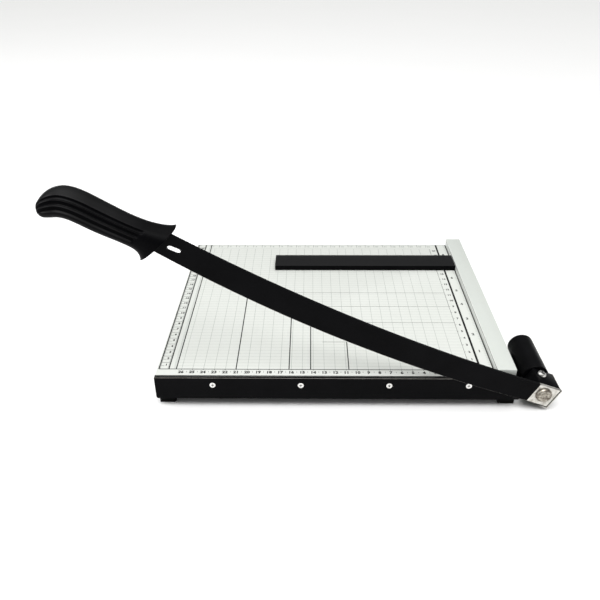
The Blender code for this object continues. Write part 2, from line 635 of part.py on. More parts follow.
def make_shaft(pivot):
    axis_point = Vector((PIVOT_X, 0, PIVOT_Z))
    seat = ARM_FRONT - GAP
    rim = SHAFT_HEAD_RADIUS
    profile = (
        (seat - 0.0021, 0.0),
        (seat - 0.0021, rim * 0.30),
        (seat - 0.0026, rim * 0.36),
        (seat - 0.0026, rim * 0.66),
        (seat - 0.0020, rim * 0.88),
        (seat - 0.0008, rim),
        (seat, rim),
        (seat, SHAFT_RADIUS),
        (SHAFT_END - 0.0008, SHAFT_RADIUS),
        (SHAFT_END, SHAFT_RADIUS - 0.0008),
        (SHAFT_END, 0.0),
    )
    turned("pivot_shaft", profile, axis_point, "Y", "bright_steel", pivot)

    end = COLLAR_START + COLLAR_LENGTH
    outer = HOUSING_BORE - 2 * GAP
    ring = ((COLLAR_START, BORE_RADIUS), (COLLAR_START, outer), (end, outer), (end, BORE_RADIUS))
    collar = turned("spring_collar", ring, axis_point, "Y", "spring_steel", pivot, hollow=True)
    margin = math.radians(12.0)
    first = math.pi / 2 - ARM_CLOSES - margin
    last = math.pi / 2 + ARM_OPENS + margin
    notch = []
    steps = 12
    for radius, span in ((outer + 0.001, (first, last)), (BORE_RADIUS + 0.0012, (last, first))):
        for step in range(steps + 1):
            angle = span[0] + (span[1] - span[0]) * step / steps
            notch.append(at_pivot(Vector((math.cos(angle), math.sin(angle))) * radius))
    cut(collar, extruded("cutter_notch", notch, COLLAR_START - 0.001, end + 0.001, None, pivot))

    start = REAR_BUSH_START + REAR_BUSH_LENGTH + GAP
    washer = ((start, BORE_RADIUS), (start, 0.0078), (start + 0.0010, 0.0078), (start + 0.0010, BORE_RADIUS))
    turned("shaft_washer", washer, axis_point, "Y", "bright_steel", pivot, hollow=True)
    axis = (Vector((0, 1, 0)), Vector((0, 0, 1)))
    nut("shaft_nut", axis_point, axis, 0.0130, SHAFT_RADIUS + GAP, start + 0.0010 + GAP, 0.0055, pivot)


def make_handle(pivot, outline):
    builder = bmesh.new()
    rings = []
    for top, bottom, half in HANDLE_SECTIONS:
        high = at_pivot(handle_point(*top))
        low = at_pivot(handle_point(*bottom))
        centre = Vector(((high.x + low.x) / 2, ARM_MIDDLE, (high.y + low.y) / 2))
        upward = Vector(((high.x - low.x) / 2, 0, (high.y - low.y) / 2))
        ring = []
        for step in range(HANDLE_RING):
            angle = math.tau * step / HANDLE_RING
            across = math.copysign(abs(math.sin(angle)) ** (2 / HANDLE_SQUARENESS), math.sin(angle))
            along = math.copysign(abs(math.cos(angle)) ** (2 / HANDLE_SQUARENESS), math.cos(angle))
            ring.append(builder.verts.new(centre + upward * along + Vector((0, half * across, 0))))
        rings.append(ring)
    for first, second in zip(rings, rings[1:]):
        for step in range(HANDLE_RING):
            following = (step + 1) % HANDLE_RING
            builder.faces.new((first[step], first[following], second[following], second[step]))
    builder.faces.new(rings[0])
    builder.faces.new(rings[-1])
    grip = add_object("handle_grip", builder, "black_plastic", pivot)
    socket = extruded("cutter_socket", grown(outline, GAP), ARM_FRONT - GAP, ARM_BACK + GAP, None, pivot)
    cut(grip, socket)

    axis = (Vector((0, -1, 0)), Vector((0, 0, 1)))
    head_height = 0.0020
    depth = 0.0080
    head = pan_head(0.0031, head_height, HANDLE_SCREW_RADIUS, 0.0120)
    for number, along in enumerate(HANDLE_SCREW_PLACES):
        spot = at_pivot(handle_point(along, 0.0))
        place = Vector((spot.x, ARM_MIDDLE + depth, spot.y))
        drill(grip, place, 0.0031 + GAP, -0.010, head_height + GAP, axis, pivot)
        drill(grip, place, HANDLE_SCREW_RADIUS + GAP, 0.001, head_height + 0.0130, axis, pivot)
        screw(f"handle_screw_{number + 1}", place, axis, head, parent=pivot)


def main():
    clear_scene()
    tray = make_table()
    make_fixed_blade(tray)
    make_fence(tray)
    make_paper_stop()
    make_housing(tray)
    make_bearings()
    make_spring()
    make_feet(tray)
    pivot = bpy.data.objects.new("arm_pivot", None)
    pivot.location = (PIVOT_X, ARM_MIDDLE, PIVOT_Z)
    bpy.context.scene.collection.objects.link(pivot)
    outline = make_blade_arm(pivot)
    make_hub(pivot)
    make_shaft(pivot)
    make_handle(pivot, outline)


main()
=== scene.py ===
"""Looks of the guillotine paper cutter: printed table, moulded handle, bright pivot end and paints.

Metres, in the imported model's frame: X along the cutting edge towards the pivot, Y away from the edge, Z up.
"""

import json
import math

import bmesh
import bpy
import numpy as np
from mathutils import Matrix, Vector


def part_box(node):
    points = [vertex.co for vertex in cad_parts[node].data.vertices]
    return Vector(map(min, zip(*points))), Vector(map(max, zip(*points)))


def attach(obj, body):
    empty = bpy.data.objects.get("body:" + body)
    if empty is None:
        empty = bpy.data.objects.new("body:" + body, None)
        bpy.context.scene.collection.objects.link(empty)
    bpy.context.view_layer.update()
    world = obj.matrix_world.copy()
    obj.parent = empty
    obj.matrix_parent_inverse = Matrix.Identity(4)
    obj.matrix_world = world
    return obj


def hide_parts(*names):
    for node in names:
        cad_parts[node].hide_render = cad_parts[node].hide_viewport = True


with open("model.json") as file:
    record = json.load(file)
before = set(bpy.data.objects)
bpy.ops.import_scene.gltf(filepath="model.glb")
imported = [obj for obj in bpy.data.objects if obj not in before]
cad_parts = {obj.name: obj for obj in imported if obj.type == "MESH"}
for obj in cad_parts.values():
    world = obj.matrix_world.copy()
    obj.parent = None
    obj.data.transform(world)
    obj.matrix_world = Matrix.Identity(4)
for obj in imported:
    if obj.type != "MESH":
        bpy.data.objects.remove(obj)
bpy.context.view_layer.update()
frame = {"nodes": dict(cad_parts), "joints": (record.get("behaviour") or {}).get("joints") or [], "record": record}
NODES = frame["nodes"]
PIVOT = Vector(next(joint["pos_m"] for joint in frame["joints"] if joint["name"] == "arm_hinge"))
TRAY_LOW, TRAY_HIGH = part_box("base_tray")
BLADE_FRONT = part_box("fixed_blade")[0].y
FENCE_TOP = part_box("fence")[1].z
ARM_LOW, ARM_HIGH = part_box("blade_arm")
ARM_MIDDLE = (ARM_LOW.y + ARM_HIGH.y) / 2

# Directions in the frame
UP = (0.0, 0.0, 1.0)
DOWN = (0.0, 0.0, -1.0)
TO_PIVOT = (1.0, 0.0, 0.0)
TO_HANDLE = (-1.0, 0.0, 0.0)
TO_FRONT = (0.0, -1.0, 0.0)
TO_CUTTING_EDGE = (-0.42, 0.0, -0.90)

# Print on the table: places along X and Y from the table's front left corner
INK_SUNK = 0.00005
INK_HEIGHTS = {"faint": 0.00002, "grid": 0.00003, "dark": 0.00004, "black": 0.00005}
INK_WELD = 0.000002
FAINT = 0.00024
FINE = 0.00036
BOLD = 0.00095
# Width of the painted shade line along the fence's foot
FENCE_FOOT_SHADE = 0.00100
HEAVY = 0.00200
CENTIMETRE = 0.010
MILLIMETRE = 0.001
# Width of the painted shade strip for the gap beside the fixed blade
FRONT_GAP_SHADE = 0.0011
RULER_OUTER = 0.0020
RULER_INNER = 0.0113
GRID_LEFT = 0.0180
GRID_FRONT = 0.0103
GRID_RIGHT = 0.2855
GRID_BACK = 0.2560
GRID_MARGIN = 0.0030
TABLE_PRINT_BACK = 0.2665
SQUARE_EDGE = 0.2946
FENCE_FOOT = 0.3063
UPRIGHT_START = 0.0229
BOLD_UPRIGHTS = ((0.0725, 0.1760), (0.1208, 0.1490), (0.1405, 0.1205), (0.1753, 0.0545))
BOLD_LEVELS = (
    (0.0545, 0.1520, 0.1753),
    (0.0893, 0.1520, GRID_RIGHT),
    (0.1205, 0.1405, GRID_RIGHT),
    (0.1490, 0.1208, GRID_RIGHT),
)

# Ticks and numbers: how long the ticks are, and how far the numbers lie from the line they belong to
NUMBER_HEIGHT = 0.0050
SMALL_NUMBER = NUMBER_HEIGHT * 0.8
NUMBER_WEIGHT = 0.045
SHORT_TICK = 0.0014
LONG_TICK = 0.0040
GRID_TICK = 0.0026
LEFT_NUMBERS = 0.0036
LEFT_RULER_MARGIN = 0.0040
FRONT_NUMBERS = 0.0045
FRONT_HALVES = (0.0030, 0.0048)
BACK_START = 0.0170
BACK_PITCH = 0.01060
BACK_TICK = 0.0062
BACK_NUMBERS = (0.0034, 0.0045)
INNER_START = 0.0269
INNER_PITCH = 0.01177
INNER_TICK = 0.0016
INNER_NUMBERS = 0.0046
OUTER_START = 0.0400
OUTER_PITCH = 0.0286
OUTER_NUMBERS = 0.0052
FOOT_MARKS = 0.0085
FOOT_PITCH = 0.00286

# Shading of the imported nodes: bevels of the flat plates, and the angle that stays sharp on the others
EDGE_BEVELS = {"blade_arm": 0.00028, "fixed_blade": 0.00025}
BEVEL_ANGLE = 40.0
WELD_DISTANCE = 0.00001
SHARP_ANGLE = 32.0

# Paint: a painted shade line along the fence under its top, and the bare strip along the fixed blade's top
FENCE_LINE = FENCE_TOP - 0.0015
FENCE_LINE_EDGES = (0.0003, 0.0006)
FENCE_LINE_STRENGTH = 0.8
BLADE_STRIP = 0.0007

# Pivot end of the arm: a leaning square whose paint stops at its near side, offset from the pivot's axis
HUB_ANGLE = math.radians(-20.0)
HUB_HALF = 0.0109
HUB_LEAN = 0.0015
HUB_SHIFT = 0.0011
HUB_DROP = 0.0018
SEAM_INSET = 0.0014
SEAM_WIDTH = 0.0011
HUB_BARE_WIDTH = 0.0013
EDGE_WEAR = 0.45
SHAFT_RINGS = 9000.0
SHAFT_GROOVE = 0.0060
SHAFT_GROOVE_WIDTH = 0.0006

# Handle: offsets along its own axis, which starts at the guard and rises away from the arm
HANDLE_START = Vector((-0.3289, 0.1487))
HANDLE_ANGLE = math.radians(24.8)
HANDLE_SECTIONS = (
    ((-0.0083, 0.0198), (0.0083, -0.0173), 0.0145),
    ((-0.0030, 0.0172), (0.0098, -0.0149), 0.0140),
    ((0.0040, 0.0151), (0.0123, -0.0120), 0.0133),
    ((0.0140, 0.0136), (0.0174, -0.0098), 0.0126),
    ((0.0260, 0.0134), (0.0280, -0.0090), 0.0124),
    ((0.0380, 0.0143), (0.0390, -0.0089), 0.0126),
    ((0.0510, 0.0156), (0.0500, -0.0085), 0.0129),
    ((0.0640, 0.0168), (0.0600, -0.0076), 0.0132),
    ((0.0740, 0.0165), (0.0690, -0.0071), 0.0134),
    ((0.0820, 0.0145), (0.0760, -0.0083), 0.0133),
    ((0.0885, 0.0099), (0.0820, -0.0114), 0.0126),
    ((0.0930, 0.0036), (0.0866, -0.0134), 0.0110),
    ((0.0951, -0.0028), (0.0900, -0.0131), 0.0080),
    ((0.0955, -0.0052), (0.0920, -0.0119), 0.0052),
)
HANDLE_SQUARENESS = 2.3
HANDLE_RINGS = 170
HANDLE_STEPS = 192
GROOVE_ANGLES = (53.0, 74.0, 95.0)
GROOVE_STARTS = (0.222, 0.232, 0.246)
GROOVE_ENDS = (0.905, 0.925, 0.900)
GROOVE_HALF_WIDTH = 9.0
GROOVE_DEPTH = 0.0022
GROOVE_RISE = 0.018
GROOVE_FALL = 0.10
LEAST_RADIUS = 0.004
GUARD_RIM = ((0.80, 0.0016), (0.86, 0.0011), (0.915, 0.0003), (0.960, 0.0), (0.985, 0.0002), (0.998, 0.0006))
POMMEL_END = (0.93, 0.80, 0.62, 0.40, 0.18)
GRIP_SHARP_ANGLE = 50.0
SCREW_WELLS = (0.024, 0.048)
WELL_RADIUS = 0.0034
WELL_FLOOR = 0.0080
WELL_CUTTER = 0.012

# Studio: sky strength low down and overhead, how tightly it gathers overhead, and a pale band at the horizon
SKY_LOW = 0.10
SKY_HIGH = 2.20
SKY_POWER = 3.0
SKY_COLOUR = (1.0, 1.0, 0.995, 1.0)
GLOW = 0.65
GLOW_HEIGHT = 0.16
FLOOR_SIZE = 6.0
FLOOR_NEAR = ((0.90, 0.90, 0.90), (0.89, 0.89, 0.89))
# Painted shade: the far floor colour, and the distances over which the floor darkens towards it
FLOOR_FAR_SHADE = (0.84, 0.845, 0.83)
FLOOR_SHADE_FADE = (0.7, 5.0)
SOFTBOXES = (
    ("front_softbox", (-0.10, -0.85, 1.64), (0.0, -0.10, 0.05), (1.8, 0.8), 21.0),
    ("right_softbox", (1.5, -0.2, 0.9), (0.05, 0.0, 0.05), (1.0, 0.8), 1.0),
    ("left_softbox", (-1.5, -0.1, 1.0), (0.0, 0.0, 0.0), (1.0, 0.8), 9.0),
)
CAMERA_PLACE = (-0.0086, -0.5997, 0.3964)
CAMERA_TURN = (59.180, 0.338, 0.805)
CAMERA_LENS = 39.81


# ---------------------------------------------------------------- materials

STEEL_LIGHT = (0.80, 0.79, 0.76)
STEEL_DARK = (0.48, 0.46, 0.42)
BLACK = (0.0009, 0.0009, 0.0012)
BLACK_LIFT = (0.0022, 0.0022, 0.0027)
RUBBER = (0.0015, 0.0015, 0.0015)
RUBBER_LIFT = (0.0040, 0.0040, 0.0040)
MOULDED_GRAIN = {"grain": 2200.0, "depth": 0.00002}
# Black for painted shade on the enamels: the table's downward faces and the line under the fence's top
PAINTED_SHADE_BLACK = (0.015, 0.015, 0.017)
# Dust and painted top light: the lighter colour of the stop bar's upward faces
DUST_AND_TOP_LIGHT = (0.0105, 0.0105, 0.0110)
# Painted shade: the colour the plated finishes take in their recesses
PAINTED_RECESS_SHADE = (0.035, 0.032, 0.030)
RECESS_REACH = 0.0012
GRIP_POLISH = 0.36
GUARD_POLISH = 0.15
POLISH_START = (0.015, 0.040)


class Finish:
    """Builds one node material from the object's own coordinates, so that it rides with its piece."""

    def __init__(self, name, specular=0.5):
        self.material = bpy.data.materials.new(name)
        self.material.use_nodes = True
        self.tree = self.material.node_tree
        self.shader = self.tree.nodes["Principled BSDF"]
        self.shader.inputs["Specular IOR Level"].default_value = specular
        self.place = self.add("ShaderNodeTexCoord").outputs["Object"]

    def add(self, kind, **settings):
        node = self.tree.nodes.new(kind)
        for key, value in settings.items():
            setattr(node, key, value)
        return node

    def feed(self, socket, value):
        """Puts a number, a vector or another node's output into a socket."""
        if isinstance(value, bpy.types.NodeSocket):
            self.tree.links.new(value, socket)
        else:
            socket.default_value = value

    def math(self, operation, first, second=0.0):
        node = self.add("ShaderNodeMath", operation=operation)
        self.feed(node.inputs[0], first)
        self.feed(node.inputs[1], second)
        return node.outputs[0]

    def noise(self, scale, detail=3.0, roughness=0.55):
        """Fine variation; the scale is in cycles per metre."""
        node = self.add("ShaderNodeTexNoise")
        self.feed(node.inputs["Vector"], self.place)
        node.inputs["Scale"].default_value = scale
        node.inputs["Detail"].default_value = detail
        node.inputs["Roughness"].default_value = roughness
        return node.outputs["Fac"]

    def between(self, value, low, high, start=0.3, end=0.7):
        """Maps a value from start..end to low..high."""
        node = self.add("ShaderNodeMapRange", clamp=True)
        self.feed(node.inputs["Value"], value)
        node.inputs["From Min"].default_value = start
        node.inputs["From Max"].default_value = end
        self.feed(node.inputs["To Min"], low)
        self.feed(node.inputs["To Max"], high)
        return node.outputs["Result"]

    def mix(self, share, first, second):
        node = self.add("ShaderNodeMix", data_type="RGBA")
        self.feed(node.inputs["Factor"], share)
        self.feed(node.inputs["A"], first if isinstance(first, bpy.types.NodeSocket) else (*first, 1.0))
        self.feed(node.inputs["B"], second if isinstance(second, bpy.types.NodeSocket) else (*second, 1.0))
        return node.outputs["Result"]

    def mix_number(self, share, first, second):
        node = self.add("ShaderNodeMix", data_type="FLOAT")
        self.feed(node.inputs["Factor"], share)
        self.feed(node.inputs["A"], first)
        self.feed(node.inputs["B"], second)
        return node.outputs["Result"]

    def colour(self, value):
        self.feed(self.shader.inputs["Base Color"], value)

    def roughness(self, value):
        self.feed(self.shader.inputs["Roughness"], value)

    def metallic(self, value):
        self.feed(self.shader.inputs["Metallic"], value)

    def bump(self, height, distance, strength=1.0):
        node = self.add("ShaderNodeBump")
        node.inputs["Strength"].default_value = strength
        node.inputs["Distance"].default_value = distance
        self.feed(node.inputs["Height"], height)
        self.feed(self.shader.inputs["Normal"], node.outputs["Normal"])

    def along(self, direction, origin=(0.0, 0.0, 0.0)):
        """Distance of a point from an origin along a direction."""
        offset = self.add("ShaderNodeVectorMath", operation="SUBTRACT")
        self.feed(offset.inputs[0], self.place)
        offset.inputs[1].default_value = origin
        dot = self.add("ShaderNodeVectorMath", operation="DOT_PRODUCT")
        self.feed(dot.inputs[0], offset.outputs["Vector"])
        dot.inputs[1].default_value = direction
        return dot.outputs["Value"]

    def past(self, value, limit, softness=0.00004):
        """1 where a value is over a limit, 0 below it, with a thin soft step."""
        return self.between(value, 0.0, 1.0, limit - softness, limit + softness)

    def facing(self, direction):
        """How far the surface faces a direction, from -1 to 1, in the piece's own frame."""
        normal = self.add("ShaderNodeTexCoord").outputs["Normal"]
        dot = self.add("ShaderNodeVectorMath", operation="DOT_PRODUCT")
        self.feed(dot.inputs[0], normal)
        dot.inputs[1].default_value = direction
        return dot.outputs["Value"]


def enamel(name, light, dark, roughness, specular, mask_maker, painted_light_side=None):
    """Baked paint on sheet steel: clouding, orange peel and a varying roughness, and black painted shade where the
    mask is 1.

    A last colour, if given, is painted light: a lighter tone on the faces that look towards the handle's end.
    """
    finish = Finish(name, specular=specular)
    cloud = finish.noise(14.0, detail=4.0)
    grime = finish.noise(160.0, detail=5.0, roughness=0.65)
    tone = finish.mix(finish.between(cloud, 0.0, 1.0), light, dark)
    speck = tuple(channel * 0.90 for channel in dark)
    tone = finish.mix(finish.between(grime, 0.0, 0.35, 0.55, 0.75), tone, speck)
    if painted_light_side is not None:
        # Painted light: the faces towards the handle's end take the lighter colour
        tone = finish.mix(finish.past(finish.facing(TO_HANDLE), 0.6, 0.1), tone, painted_light_side)
    # Painted shade: black where the mask is 1
    finish.colour(finish.mix(mask_maker(finish), tone, PAINTED_SHADE_BLACK))
    finish.roughness(finish.between(finish.noise(60.0), roughness - 0.05, roughness + 0.08))
    finish.bump(finish.noise(900.0, detail=2.0), 0.00002, 0.5)
    return finish.material


def underside_mask(finish):
    """Painted shade: the faces that look down are black."""
    return finish.past(finish.facing(DOWN), 0.5, 0.1)


def fence_mask(finish):
    """Painted shade: a thin black line along the fence's side, just under the rounded edge over the table, for the
    shadow under that edge.
    """
    beside = finish.past(finish.facing(TO_HANDLE), 0.6, 0.1)
    off_line = finish.math("ABSOLUTE", finish.math("SUBTRACT", finish.along(UP), FENCE_LINE))
    line = finish.between(off_line, FENCE_LINE_STRENGTH, 0.0, *FENCE_LINE_EDGES)
    return finish.math("MULTIPLY", beside, line)


def ink(name, colour):
    """Screen-printed ink, a little uneven."""
    finish = Finish(name, specular=0.08)
    thin = tuple(min(1.0, channel * 1.25 + 0.02) for channel in colour)
    finish.colour(finish.mix(finish.between(finish.noise(420.0, detail=4.0), 0.0, 1.0), colour, thin))
    finish.roughness(finish.between(finish.noise(300.0), 0.45, 0.65))
    return finish.material


def black_coat(name, base, lift, roughness, specular, grain=1400.0, depth=0.00003):
    """Black powder coat or moulded black: a fine even grain with slight patches."""
    finish = Finish(name, specular=specular)
    patch = finish.noise(35.0, detail=4.0)
    fleck = finish.noise(grain * 0.7, detail=2.0)
    tone = finish.mix(finish.between(patch, 0.0, 1.0), base, lift)
    finish.colour(finish.mix(finish.between(fleck, 0.0, 0.5, 0.5, 0.8), tone, lift))
    finish.roughness(finish.between(finish.noise(90.0, detail=3.0), roughness - 0.05, roughness + 0.06))
    finish.bump(finish.noise(grain, detail=2.0), depth, 0.6)
    return finish


def dusty_coat():
    """Black powder coat whose upward faces are lighter: fine dust, and painted top light."""
    finish = black_coat("powder_coat_with_top_light", BLACK, BLACK_LIFT, 0.42, 0.04)
    coat = finish.shader.inputs["Base Color"].links[0].from_socket
    # Dust and painted light: the upward faces take the lighter colour
    upper = finish.past(finish.facing(UP), 0.6, 0.3)
    finish.colour(finish.mix(upper, coat, DUST_AND_TOP_LIGHT))
    return finish.material


def polished_grip():
    """Moulded plastic that hands have polished along its upper side, but for the guard."""
    finish = black_coat("moulded_grip", BLACK, BLACK_LIFT, 0.45, 0.025, **MOULDED_GRAIN)
    upper = finish.between(finish.facing(UP), 0.0, GRIP_POLISH, 0.50, 1.0)
    axis = (-math.cos(HANDLE_ANGLE), 0.0, math.sin(HANDLE_ANGLE))
    from_guard = finish.along(axis, (PIVOT.x + HANDLE_START.x, 0.0, PIVOT.z + HANDLE_START.y))
    held = finish.between(from_guard, GUARD_POLISH, 1.0, *POLISH_START)
    finish.feed(finish.shader.inputs["Coat Weight"], finish.math("MULTIPLY", upper, held))
    finish.shader.inputs["Coat Roughness"].default_value = 0.33
    return finish.material


def plated(name, light, dark, low, high):
    """Bright plated or turned steel with fine scratches, and painted shade that darkens its recesses."""
    finish = Finish(name, specular=0.5)
    scratch = finish.noise(700.0, detail=4.0)
    stain = finish.noise(220.0, detail=3.0)
    tone = finish.mix(finish.between(stain, 0.0, 1.0, 0.35, 0.65), light, dark)
    # Painted shade: darker towards the recess shade colour where the occlusion lookup finds the surface closed in
    occlusion = finish.add("ShaderNodeAmbientOcclusion", samples=6)
    occlusion.inputs["Distance"].default_value = RECESS_REACH
    finish.colour(finish.mix(finish.between(occlusion.outputs["AO"], 1.0, 0.0, 0.45, 0.80), tone, PAINTED_RECESS_SHADE))
    finish.roughness(finish.between(scratch, low, high))
    finish.metallic(1.0)
    finish.bump(scratch, 0.00002, 0.4)
    return finish.material


def coated_steel(name, mask_maker, bare_light=STEEL_LIGHT, bare_dark=STEEL_DARK):
    """Black coating with bare ground steel where the mask is 1."""
    finish = black_coat(name, BLACK, BLACK_LIFT, 0.40, 0.04)
    coat_colour = finish.shader.inputs["Base Color"].links[0].from_socket
    coat_roughness = finish.shader.inputs["Roughness"].links[0].from_socket
    mask = mask_maker(finish)
    stain = finish.noise(260.0, detail=4.0, roughness=0.6)
    bare = finish.mix(finish.between(stain, 0.0, 1.0, 0.35, 0.65), bare_light, bare_dark)
    finish.colour(finish.mix(mask, coat_colour, bare))
    finish.roughness(finish.mix_number(mask, coat_roughness, finish.between(stain, 0.24, 0.42)))
    finish.metallic(mask)
    return finish.material


HUB_ALONG = Vector((math.cos(HUB_ANGLE), 0.0, math.sin(HUB_ANGLE)))
HUB_UP = Vector((-HUB_ALONG.z, 0.0, HUB_ALONG.x))


def hub_offsets(finish):
    """Where a point lies along the hub's leaning square, and above its middle line, from the pivot's axis."""
    up = finish.along(HUB_UP, PIVOT)
    lean = finish.math("MULTIPLY", finish.math("ADD", up, HUB_DROP), HUB_LEAN / HUB_HALF)
    return finish.math("SUBTRACT", finish.along(HUB_ALONG, PIVOT), lean), up


def arm_mask(finish):
    """Bare steel: the pivot end past the paint line, but for a thin dark seam inside its rim, and the edges."""
    along, up = hub_offsets(finish)
    end = finish.past(along, HUB_SHIFT - HUB_HALF)
    from_far_side = finish.math("SUBTRACT", HUB_SHIFT + HUB_HALF, along)
    from_low_side = finish.math("ADD", up, HUB_HALF + HUB_DROP)
    inset = finish.math("MINIMUM", from_far_side, from_low_side)
    off_seam = finish.math("ABSOLUTE", finish.math("SUBTRACT", inset, SEAM_INSET))
    front = finish.past(finish.facing(TO_FRONT), 0.9, 0.02)
    behind = finish.math("SUBTRACT", 1.0, front)
    clear = finish.math("MAXIMUM", finish.past(off_seam, SEAM_WIDTH / 2), behind)
    bare_end = finish.math("MULTIPLY", end, clear)
    edge = finish.past(finish.facing(TO_CUTTING_EDGE), 0.12, 0.08)
    return finish.math("MAXIMUM", bare_end, finish.math("MULTIPLY", edge, EDGE_WEAR))


def blade_mask(finish):
    """Bare steel: a strip ground along the front of the fixed blade's top."""
    top = finish.past(finish.facing(UP), 0.8, 0.05)
    front = finish.past(finish.along(TO_FRONT), -(BLADE_FRONT + BLADE_STRIP))
    return finish.math("MULTIPLY", top, front)


def hub_mask(finish):
    """Bare steel: the machined end of the hub, away from the handle, and a narrow strip beside it."""
    along, _ = hub_offsets(finish)
    return finish.past(along, HUB_SHIFT + HUB_HALF - HUB_BARE_WIDTH)


def shaft_finish():
    """Turned shaft head: rings round the axis, a blotchy stain, and a darker ring at the groove's radius."""
    finish = Finish("shaft_steel", specular=0.5)
    across = finish.along(TO_PIVOT, PIVOT)
    up = finish.along(UP, PIVOT)
    square = finish.math("ADD", finish.math("MULTIPLY", across, across), finish.math("MULTIPLY", up, up))
    radius = finish.math("SQRT", square)
    rings = finish.math("SINE", finish.math("MULTIPLY", radius, SHAFT_RINGS))
    stain = finish.noise(330.0, detail=5.0, roughness=0.65)
    tone = finish.mix(finish.between(stain, 0.0, 1.0, 0.38, 0.62), (0.46, 0.43, 0.37), (0.12, 0.10, 0.08))
    off_groove = finish.math("ABSOLUTE", finish.math("SUBTRACT", radius, SHAFT_GROOVE))
    groove = finish.between(off_groove, 1.0, 0.0, 0.0, SHAFT_GROOVE_WIDTH)
    finish.colour(finish.mix(finish.math("MULTIPLY", groove, 0.7), tone, (0.10, 0.09, 0.08)))
    finish.roughness(finish.between(stain, 0.28, 0.50))
    finish.metallic(1.0)
    finish.bump(rings, 0.00004, 0.7)
    return finish.material


FINISHES = {
    # The table's enamel has black painted shade on its downward faces
    "table_paint": enamel(
        "table_enamel", (0.584, 0.600, 0.570), (0.570, 0.587, 0.555), 0.42, 0.30, underside_mask
    ),
    "fence_paint": enamel(
        # The last colour is painted light on the fence's side towards the handle's end
        "fence_enamel", (0.515, 0.540, 0.510), (0.502, 0.527, 0.497), 0.40, 0.30, fence_mask, (0.70, 0.72, 0.69)
    ),
    "black_paint": black_coat("black_powder_coat", BLACK, BLACK_LIFT, 0.38, 0.05).material,
    "black_plastic": black_coat("moulded_plastic", BLACK, BLACK_LIFT, 0.34, 0.10, **MOULDED_GRAIN).material,
    "rubber": black_coat("moulded_rubber", RUBBER, RUBBER_LIFT, 0.75, 0.06).material,
    "bright_steel": plated("zinc_plate", (0.86, 0.86, 0.84), (0.66, 0.65, 0.62), 0.18, 0.36),
    "spring_steel": plated("oiled_spring", (0.34, 0.34, 0.35), (0.16, 0.15, 0.15), 0.28, 0.46),
    "bronze": plated("sintered_bronze", (0.62, 0.42, 0.20), (0.40, 0.26, 0.12), 0.34, 0.52),
    "magnet": black_coat("bonded_magnet", (0.020, 0.019, 0.018), (0.040, 0.038, 0.036), 0.70, 0.20).material,
}
NODE_FINISHES = {
    "blade_arm": coated_steel("arm_steel", arm_mask, (0.68, 0.67, 0.63), (0.40, 0.38, 0.34)),
    "fixed_blade": coated_steel("blade_steel", blade_mask, (0.30, 0.29, 0.27), (0.20, 0.19, 0.17)),
    "hub_block": coated_steel("hub_steel", hub_mask),
    "pivot_shaft": shaft_finish(),
    "stop_bar": dusty_coat(),
    "handle_grip": polished_grip(),
}
INKS = {
    "faint": ink("ink_faint", (0.33, 0.35, 0.33)),
    "grid": ink("ink_grey", (0.30, 0.32, 0.30)),
    "dark": ink("ink_dark", (0.030, 0.033, 0.031)),
    "black": ink("ink_black", (0.002, 0.002, 0.002)),
}


# ---------------------------------------------------------------- pieces


def mesh_object(name, builder, material):
    mesh = bpy.data.meshes.new(name)
    builder.to_mesh(mesh)
    builder.free()
    mesh.materials.append(material)
    made = bpy.data.objects.new(name, mesh)
    bpy.context.scene.collection.objects.link(made)
    return made


def smoothing():
    """Geometry nodes that shade curved faces smoothly and keep the edges over an angle sharp."""
    tree = bpy.data.node_groups.new("smooth_by_angle", "GeometryNodeTree")
    tree.interface.new_socket("Geometry", in_out="INPUT", socket_type="NodeSocketGeometry")
    tree.interface.new_socket("Geometry", in_out="OUTPUT", socket_type="NodeSocketGeometry")
    source = tree.nodes.new("NodeGroupInput")
    merge = tree.nodes.new("GeometryNodeMergeByDistance")
    merge.inputs["Distance"].default_value = WELD_DISTANCE
    faces = tree.nodes.new("GeometryNodeSetShadeSmooth")
    faces.domain = "FACE"
    edges = tree.nodes.new("GeometryNodeSetShadeSmooth")
    edges.domain = "EDGE"
    edges.inputs["Shade Smooth"].default_value = False
    sharp = tree.nodes.new("FunctionNodeCompare")
    sharp.operation = "GREATER_THAN"
    sharp.inputs["B"].default_value = math.radians(SHARP_ANGLE)
    angle = tree.nodes.new("GeometryNodeInputMeshEdgeAngle")
    result = tree.nodes.new("NodeGroupOutput")
    tree.links.new(source.outputs["Geometry"], merge.inputs["Geometry"])
    tree.links.new(merge.outputs["Geometry"], faces.inputs["Geometry"])
    tree.links.new(faces.outputs["Geometry"], edges.inputs["Geometry"])
    tree.links.new(angle.outputs["Unsigned Angle"], sharp.inputs["A"])
    tree.links.new(sharp.outputs["Result"], edges.inputs["Selection"])
    tree.links.new(edges.outputs["Geometry"], result.inputs["Geometry"])
    return tree


def dress_cad_nodes():
    """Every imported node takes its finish; two flat plates get a fine bevel, and the others smooth shading."""
    smooth_by_angle = smoothing()
    for subpart in frame["record"]["subparts"]:
        name = subpart["node"]
        node = NODES[name]
        node.data.materials.clear()
        node.data.materials.append(NODE_FINISHES.get(name, FINISHES.get(subpart["material_slot"])))
        if name not in EDGE_BEVELS:
            node.modifiers.new("smooth", "NODES").node_group = smooth_by_angle
    for name, width in EDGE_BEVELS.items():
        weld = NODES[name].modifiers.new("weld", "WELD")
        weld.merge_threshold = WELD_DISTANCE
        bevel = NODES[name].modifiers.new("edge", "BEVEL")
        bevel.width = width
        bevel.segments = 2
        bevel.limit_method = "ANGLE"
        bevel.angle_limit = math.radians(BEVEL_ANGLE)
        bevel.harden_normals = True


